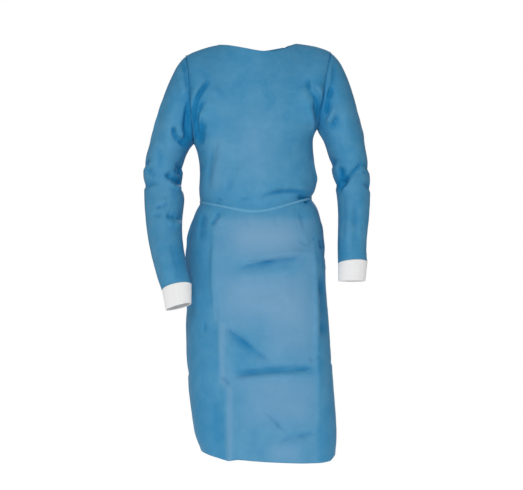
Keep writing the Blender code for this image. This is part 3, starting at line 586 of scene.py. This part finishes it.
# How high the hem hangs above its lowest, along x
hemWave = {
    "x": (-0.180, -0.150, -0.110, -0.078, -0.050, -0.030, 0.055, 0.125, 0.185, 0.212, 0.226),
    "lift": (0.016, 0.013, 0.006, 0.0, 0.006, 0.006, 0.002, 0.0, 0.0, 0.003, 0.014),
    "height": 0.075,
}
hemLevel = -1.1  # a piece that reaches below this has a hem

# the way each view looks and the two axes that its paths use
viewAxes = {
    "front": ((0, -1, 0), 0),
    "back": ((0, 1, 0), 0),
    "right": ((-1, 0, 0), 1),
    "left": ((1, 0, 0), 1),
}
drape = {"roll": 0.0016, "crumple": 0.0005, "rollSize": (0.085, 0.30), "crumpleSize": 0.024}

# A fold is steep on the right of its path and eases off on the left
foldShape = {
    "steep": 0.55,  # shares of its width, right and left
    "easy": 1.8,
    "gain": 1.45,  # the tables give slack folds, and worn ones are this much deeper
    "taper": 0.26,  # share of its length over which an end fades
    "thinEnd": 0.6,  # share of its width at the ends
    "reach": 5,  # widths out from the path where it still counts
    "turned": 0.35,  # how squarely cloth faces the view where it takes the whole fold
    "edgeOn": 0.02,  # and where it takes none
}
unevenness = [(0.22, 9, 1.7), (0.12, 23, 2.9)]  # size, turns along a fold, turns from fold to fold
washTurned = 0.4  # how squarely cloth faces the view where it takes the whole tint


def readRows(kind, sections):
    return [kind(view, *row) for view, rows in sections for row in rows]


bodyCreases = readRows(Crease, bodyFolds)
sleeveCreases = readRows(Crease, sleeveFolds)
paintedLightRows = readRows(Wash, paintedLightAreas)


# A rounded line through the points of a crease
def smoothPath(path, steps=6):
    points = [np.array(p) for p in path]
    points = [2 * points[0] - points[1], *points, 2 * points[-1] - points[-2]]
    made = []
    for a, b, c, d in zip(points, points[1:], points[2:], points[3:]):
        for k in range(steps):
            t = k / steps
            square, cube = 2 * a - 5 * b + 4 * c - d, 3 * b - a - 3 * c + d
            made.append(0.5 * (2 * b + (c - a) * t + square * t * t + cube * t**3))
    return np.array(made + [points[-2]])


def fadeIn(t):
    t = np.clip(t, 0, 1)
    return t * t * (3 - 2 * t)


# How far out each point of the cloth goes for its creases
def creaseShift(points, normals, creases):
    shift = np.zeros(len(points))
    for number, crease in enumerate(creases):
        towards, axis = viewAxes[crease.view]
        line = smoothPath(crease.path)
        flat = points[:, [axis, 2]]
        reach = crease.width * foldShape["reach"]
        near = np.all((flat > line.min(0) - reach) & (flat < line.max(0) + reach), axis=1)
        near &= normals @ np.array(towards) > foldShape["edgeOn"]
        if not near.any():
            continue
        here = flat[near]
        run = np.diff(line, axis=0)
        lengths = np.linalg.norm(run, axis=1)
        before = np.concatenate([[0], np.cumsum(lengths)])
        away = here[:, None, :] - line[None, :-1, :]
        share = np.clip((away * run).sum(2) / (lengths**2), 0, 1)
        distance = np.linalg.norm(away - run * share[..., None], axis=2)
        nearest = distance.argmin(1)
        rows = np.arange(len(here))
        along = (before[nearest] + share[rows, nearest] * lengths[nearest]) / before[-1]
        uneven = 1 + sum(size * np.sin(along * turns + number * step) for size, turns, step in unevenness)
        ends = fadeIn(along / foldShape["taper"]) * fadeIn((1 - along) / foldShape["taper"])
        runHere, awayHere = run[nearest], away[rows, nearest]
        onLeft = runHere[:, 0] * awayHere[:, 1] > runHere[:, 1] * awayHere[:, 0]
        span = crease.width * (foldShape["thinEnd"] + (1 - foldShape["thinEnd"]) * ends)
        span *= np.where(onLeft, foldShape["easy"], foldShape["steep"])
        profile = np.exp(-((distance[rows, nearest] / span) ** crease.sharp))
        facing = fadeIn((normals[near] @ np.array(towards)) / foldShape["turned"])
        shift[near] += foldShape["gain"] * crease.depth * profile * ends * uneven * facing
    return shift


# Painted sheen above 0, where the cloth is greyed; painted shade below 0, where it is deeper
def paintedLightTint(points, normals):
    tint = np.zeros(len(points))
    for wash in paintedLightRows:
        towards, axis = viewAxes[wash.view]
        flat = points[:, [axis, 2]]
        inside = np.minimum(flat - np.array(wash.low), np.array(wash.high) - flat) / wash.soft
        amount = fadeIn(inside / 2 + 0.5).prod(1)
        tint += wash.tint * amount * fadeIn(normals @ np.array(towards) / washTurned)
    return tint


def reshape(points):
    made = points.copy()
    for place, reach, shift in lifts:
        near = np.exp(-(((points - np.array(place)) ** 2).sum(1)) / (2 * reach**2))
        made += near[:, None] * np.array(shift)
    low = points[:, 2].min()
    if low < hemLevel:
        amount = fadeIn((low + hemWave["height"] - points[:, 2]) / hemWave["height"])
        made[:, 2] += amount * np.interp(points[:, 0], hemWave["x"], hemWave["lift"])
    return made


# Soft uneven swells and a faint crumple, so that no stretch of cloth is dead flat
def drapeShift(points):
    wide, tall = drape["rollSize"]
    fine = drape["crumpleSize"]
    made = [
        drape["roll"] * noise.noise(Vector((p[0] / wide, p[1] / wide, p[2] / tall)))
        + drape["crumple"] * noise.noise(Vector((p[0] / fine, p[1] / fine, p[2] / fine)))
        for p in points
    ]
    return np.array(made)


def readPoints(item):
    count = len(item.data.vertices)
    points, normals = np.zeros(count * 3), np.zeros(count * 3)
    item.data.vertices.foreach_get("co", points)
    item.data.vertex_normals.foreach_get("vector", normals)
    return points.reshape(-1, 3), normals.reshape(-1, 3)


def writePoints(item, points):
    item.data.vertices.foreach_set("co", np.ascontiguousarray(points, float).ravel())
    item.data.update()


skinFind = {
    "sameSpot": 0.00002,
    "turn": math.radians(60),  # faces that meet at less than this belong to one side of the cloth
    "wide": 0.002,  # so that a flat strip keeps its wide face and not its rim
    "flatness": 0.9,  # how far two triangles may bend and lean and still make one face
    "lean": 1.6,
}
cornerReach = 0.002  # how near the corners of neighbouring pieces lie


# A new object with only the outer face of a CAD wall, as four-sided faces
def outerSkin(node, name):
    item = bpy.data.objects.new(name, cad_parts[node].data.copy())
    bpy.context.scene.collection.objects.link(item)
    item.data.materials.clear()
    mesh = bmesh.new()
    mesh.from_mesh(item.data)
    bmesh.ops.remove_doubles(mesh, verts=mesh.verts, dist=skinFind["sameSpot"])
    mesh.normal_update()
    middle = sum((v.co for v in mesh.verts), Vector()) / len(mesh.verts)
    unseen, skin, best = set(mesh.faces), None, 0
    while unseen:
        front = [unseen.pop()]
        part = set(front)
        while front:
            face = front.pop()
            for other in {f for e in face.edges for f in e.link_faces} & unseen:
                if face.normal.angle(other.normal, 0) < skinFind["turn"]:
                    unseen.discard(other)
                    part.add(other)
                    front.append(other)
        outward = sum(
            f.calc_area() * (skinFind["wide"] + f.normal.dot(f.calc_center_median() - middle)) for f in part
        )
        if outward > best:
            skin, best = part, outward
    bmesh.ops.delete(mesh, geom=[f for f in mesh.faces if f not in skin], context="FACES")
    longest = {f: max(f.edges, key=lambda e: e.calc_length()) for f in mesh.faces}
    inner = [e for e in mesh.edges if len(e.link_faces) == 2]
    diagonals = [e for e in inner if all(longest[f] == e for f in e.link_faces)]
    bmesh.ops.dissolve_edges(mesh, edges=diagonals, use_verts=False)
    left = [f for f in mesh.faces if len(f.verts) == 3]
    bmesh.ops.join_triangles(
        mesh, faces=left, angle_face_threshold=skinFind["flatness"], angle_shape_threshold=skinFind["lean"]
    )
    for key in [k for k in mesh.loops.layers.uv.keys()]:
        mesh.loops.layers.uv.remove(mesh.loops.layers.uv[key])
    mesh.to_mesh(item.data)
    odd = sum(len(f.verts) != 4 for f in mesh.faces)
    print(name, "skin:", len(mesh.faces), "faces,", odd, "not four-sided")
    mesh.free()
    return item


# Where an edge of a piece turns sharply: the corners that its neighbours must share
def findCorners(items, turn=math.radians(28)):
    corners = []
    for item in items:
        mesh = bmesh.new()
        mesh.from_mesh(item.data)
        for v in mesh.verts:
            edges = [e for e in v.link_edges if e.is_boundary]
            if len(edges) == 2:
                a, b = [(e.other_vert(v).co - v.co).normalized() for e in edges]
                if a.angle(-b, 0) > turn:
                    corners.append(v.co.copy())
        mesh.free()
    return corners


def holdCorners(item, corners):
    mesh = bmesh.new()
    mesh.from_mesh(item.data)
    layer = mesh.verts.layers.float.new("crease_vert")
    for v in mesh.verts:
        if v.is_boundary and any((v.co - c).length < cornerReach for c in corners):
            v[layer] = 1.0
    mesh.to_mesh(item.data)
    mesh.free()


def applyModifier(item, modifier):
    bpy.ops.object.select_all(action="DESELECT")
    item.select_set(True)
    bpy.context.view_layer.objects.active = item
    bpy.ops.object.modifier_apply(modifier=modifier.name)


def subdivide(item, levels):
    modifier = item.modifiers.new("smooth_cloth", "SUBSURF")
    modifier.levels = modifier.render_levels = levels
    applyModifier(item, modifier)


def edgePoints(item):
    mesh = bmesh.new()
    mesh.from_mesh(item.data)
    found = [(v.index, v.co.copy()) for v in mesh.verts if v.is_boundary]
    mesh.free()
    return found


# Moves the edges of neighbouring pieces halfway to each other, so that they meet along their seams
def joinSeams(items, reach):
    edges = [(item, index, place) for item in items for index, place in edgePoints(item)]
    tree = kdtree.KDTree(len(edges))
    for k, (item, index, place) in enumerate(edges):
        tree.insert(place, k)
    tree.balance()
    moved = []
    for item, index, place in edges:
        nearest = {}
        for found, k, distance in tree.find_range(place, reach):
            other = edges[k][0]
            if other is not item and distance < nearest.get(other.name, (reach, None))[0]:
                nearest[other.name] = (distance, found.copy())
        if nearest:
            meeting = [place] + [found for distance, found in nearest.values()]
            moved.append((item, index, sum(meeting, Vector()) / len(meeting)))
    for item, index, place in moved:
        item.data.vertices[index].co = place
    for item in items:
        item.data.update()
    return [place for item, index, place in moved]


def setTint(item, name, values):
    item.data.attributes.new(name, "FLOAT", "POINT").data.foreach_set("value", values)


def seamDistance(points, seams):
    tree = kdtree.KDTree(len(seams))
    for k, place in enumerate(seams):
        tree.insert(place, k)
    tree.balance()
    return np.array([tree.find(p)[2] for p in points])


# Draws the cloth in along its seams, where the sewing holds it, and adds painted shade along the seam lines
def pinchSeams(item, seams):
    points, normals = readPoints(item)
    near = np.exp(-((seamDistance(points, seams) / seamPinch["width"]) ** 2))
    writePoints(item, points - normals * (near * seamPinch["depth"])[:, None])
    paintedShade = np.zeros(len(points))
    item.data.attributes["paintedShade"].data.foreach_get("value", paintedShade)
    item.data.attributes["paintedShade"].data.foreach_set("value", np.clip(paintedShade + near * seamPinch["paintedShade"], 0, 1))


# One joined mesh of stitches, in a row just inside every edge of a piece
def stitchRow(item, name):
    mesh = bmesh.new()
    mesh.from_mesh(item.data)
    mesh.normal_update()
    places, faces = [], []
    for edge in mesh.edges:
        if not edge.is_boundary:
            continue
        a, b = [v.co for v in edge.verts]
        face = edge.link_faces[0]
        along = (b - a).normalized()
        out = face.normal
        inward = out.cross(along)
        if inward.dot(face.calc_center_median() - a) < 0:
            inward.negate()
        count = max(1, round((b - a).length / stitch["pitch"]))
        for k in range(count):
            middle = a.lerp(b, (k + 0.5) / count) + inward * stitch["inset"] + out * stitch["rise"]
            half, r, first = along * stitch["length"] / 2, stitch["radius"], len(places)
            places += [middle - half, middle + half]
            places += [middle + out * r, middle + inward * r, middle - out * r, middle - inward * r]
            for j in range(4):
                ring = first + 2 + j, first + 2 + (j + 1) % 4
                faces += [(first, ring[1], ring[0]), (first + 1, *ring)]
    mesh.free()
    data = bpy.data.meshes.new(name)
    data.from_pydata([tuple(p) for p in places], [], faces)
    made = bpy.data.objects.new(name, data)
    bpy.context.scene.collection.objects.link(made)
    turned = bmesh.new()
    turned.from_mesh(data)
    bmesh.ops.recalc_face_normals(turned, faces=turned.faces)
    turned.to_mesh(data)
    turned.free()
    return made


def thicken(item, thickness):
    modifier = item.modifiers.new("cloth_thickness", "SOLIDIFY")
    modifier.thickness = thickness
    modifier.offset = -1
    modifier.use_even_offset = False
    applyModifier(item, modifier)


def finishPiece(item, node, material):
    item.data.materials.clear()
    item.data.materials.append(material)
    item.data.shade_smooth()
    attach(item, "root")
    if node:
        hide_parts(node)


panels = {
    # name: (CAD node, creases, subdivision levels)
    "gown_front": ("front_panel", bodyCreases, 3),
    "gown_back_left": ("back_left", bodyCreases, 3),
    "gown_back_right": ("back_right", bodyCreases, 3),
    "gown_sleeve_right": ("sleeve_right", sleeveCreases, 3),
    "gown_sleeve_left": ("sleeve_left", sleeveCreases, 3),
}
stitch = {"pitch": 0.0034, "length": 0.0024, "radius": 0.00032, "inset": 0.0018, "rise": 0.000128}
clothThickness = 0.0007
seamReach = 0.007  # how far apart two edges may be and still be sewn together
seamHold = {"least": 0.35, "width": 0.014}  # folds are shallower where the sewing holds them
seamPinch = {"depth": 0.0012, "width": 0.0042, "paintedShade": 0.45}  # how far the sewing draws the cloth in, and how much painted shade the seam line gets
foldShadeDepth = 0.0085  # a trough this deep gets the full painted shade
cloth = {name: outerSkin(node, name) for name, (node, creases, levels) in panels.items()}
corners = findCorners(cloth.values())
for name, (node, creases, levels) in panels.items():
    holdCorners(cloth[name], corners)
    subdivide(cloth[name], levels)
seams = joinSeams(list(cloth.values()), seamReach)
for name, (node, creases, levels) in panels.items():
    item = cloth[name]
    points, normals = readPoints(item)
    shift = creaseShift(points, normals, creases)
    free = fadeIn(seamDistance(points, seams) / seamHold["width"])
    shift *= seamHold["least"] + (1 - seamHold["least"]) * free
    # painted sheen and painted shade from the areas, and more painted shade the deeper a crease trough is
    tint = paintedLightTint(points, normals)
    setTint(item, "paintedSheen", np.clip(tint, 0, 1))
    setTint(item, "paintedShade", np.clip(-tint - shift / foldShadeDepth, 0, 1))
    shift += drapeShift(points)
    writePoints(item, reshape(points + normals * shift[:, None]))
seams = joinSeams(list(cloth.values()), seamReach)
print("seam points joined:", len(seams))
for name, item in cloth.items():
    pinchSeams(item, seams)
stitches = [stitchRow(item, name.replace("gown_", "gown_stitches_")) for name, item in cloth.items()]
print("stitches sewn")
for name, (node, creases, levels) in panels.items():
    thicken(cloth[name], clothThickness)
    finishPiece(cloth[name], node, blueCloth)
for item in stitches:
    finishPiece(item, None, thread)
print("panels and sleeves made")

cuff = {
    "levels": 4,
    "ribs": 66,
    "ribHeight": 0.0005,
    "ribTone": (0.62, 0.38),  # middle and swing from rib to hollow: painted shade darkens the hollows
    "thickness": 0.0016,
    "slant": 0.007,  # how much lower the front edge ends
    "down": (0, -0.35, -1.0),  # the way the forearms point
    "flat": (0.24, 0.062),
}
cuffs = {"gown_cuff_right": "cuff_right", "gown_cuff_left": "cuff_left"}
for name, node in cuffs.items():
    item = outerSkin(node, name)
    subdivide(item, cuff["levels"])
    points, normals = readPoints(item)
    middle = points.mean(0)
    spread = points - middle
    down = Vector(cuff["down"]).normalized()
    side = Vector((1, 0, 0))
    ahead = down.cross(side).normalized()
    turn = np.arctan2(spread @ np.array(ahead), spread @ np.array(side))
    wave = np.cos(turn * cuff["ribs"])
    # painted shade: the knit is darker in the hollows between ribs
    ribShade = item.data.attributes.new("ribShade", "FLOAT", "POINT")
    ribShade.data.foreach_set("value", np.clip(cuff["ribTone"][0] + cuff["ribTone"][1] * wave, 0, 1))
    made = points + normals * (wave * cuff["ribHeight"])[:, None]
    level = spread @ np.array(down)
    level = fadeIn((level - level.min()) / np.ptp(level)) ** 2
    forward = -(spread[:, 1] - spread @ np.array(down) * down.y)
    forward = np.clip(forward / np.abs(forward).max(), -1, 1)
    made += (cuff["slant"] * level * forward)[:, None] * np.array(down)
    writePoints(item, made)
    thicken(item, cuff["thickness"])
    finishPiece(item, node, whiteKnit)
print("cuffs made")

strips = {
    # node: flat width and length
    "waist_belt": (0.010, 0.86),
    "waist_tie_left": (0.011, 0.22),
    "waist_tie_right": (0.011, 0.18),
    "neck_tie_left": (0.012, 0.13),
    "neck_tie_right": (0.012, 0.10),
}
stripThickness, stripLevels = 0.0008, 3
beltPull = {"share": 0.66, "turn": 0.03}  # pulled tight, the belt rolls up to this share of its width


# The same points drawn towards the middle line of the belt
def rollBelt(points):
    turn = np.arctan2(points[:, 1] - points[:, 1].mean(), points[:, 0])
    near = np.abs(turn[:, None] - turn[None, :]) < beltPull["turn"]
    high = np.where(near, points[None, :, 2], -np.inf).max(1)
    low = np.where(near, points[None, :, 2], np.inf).min(1)
    middle = (high + low) / 2
    made = points.copy()
    made[:, 2] = middle + (points[:, 2] - middle) * beltPull["share"]
    return made


for node, flat in strips.items():
    item = outerSkin(node, "gown_" + node)
    subdivide(item, stripLevels)
    if node == "waist_belt":
        writePoints(item, rollBelt(readPoints(item)[0]))
    thicken(item, stripThickness)
    finishPiece(item, node, paintedPaleTieCloth)

# Each knot is a round cord on a trefoil, the path of a half knot with its ends joined
knot = {"points": 96, "thick": 0.42, "round": 4}  # thick: cord radius as a share of the knot's half depth
for node in ("waist_knot", "neck_knot"):
    low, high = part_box(node)
    middle, half = (low + high) / 2, (high - low) / 2
    count, radius = knot["points"], min(half) * knot["thick"]
    ring = []
    for k in range(count):
        t = 2 * math.pi * k / count
        x = (math.sin(t) + 2 * math.sin(2 * t)) / 3
        z = (math.cos(t) - 2 * math.cos(2 * t)) / 3
        y = -math.sin(3 * t)
        ring.append(Vector((x * (half.x - radius), y * (half.y - radius), z * (half.z - radius))) + middle)
    curve = bpy.data.curves.new("gown_" + node, "CURVE")
    curve.dimensions = "3D"
    curve.bevel_depth = radius
    curve.bevel_resolution = knot["round"]
    spline = curve.splines.new("POLY")
    spline.points.add(count - 1)
    spline.use_cyclic_u = True
    for point, place in zip(spline.points, ring):
        point.co = (*place, 1)
    item = bpy.data.objects.new("gown_" + node, curve)
    bpy.context.scene.collection.objects.link(item)
    bpy.ops.object.select_all(action="DESELECT")
    item.select_set(True)
    bpy.context.view_layer.objects.active = item
    bpy.ops.object.convert(target="MESH")
    finishPiece(bpy.context.object, node, paintedPaleTieCloth)
print("belt, knots and ties made")

low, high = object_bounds()
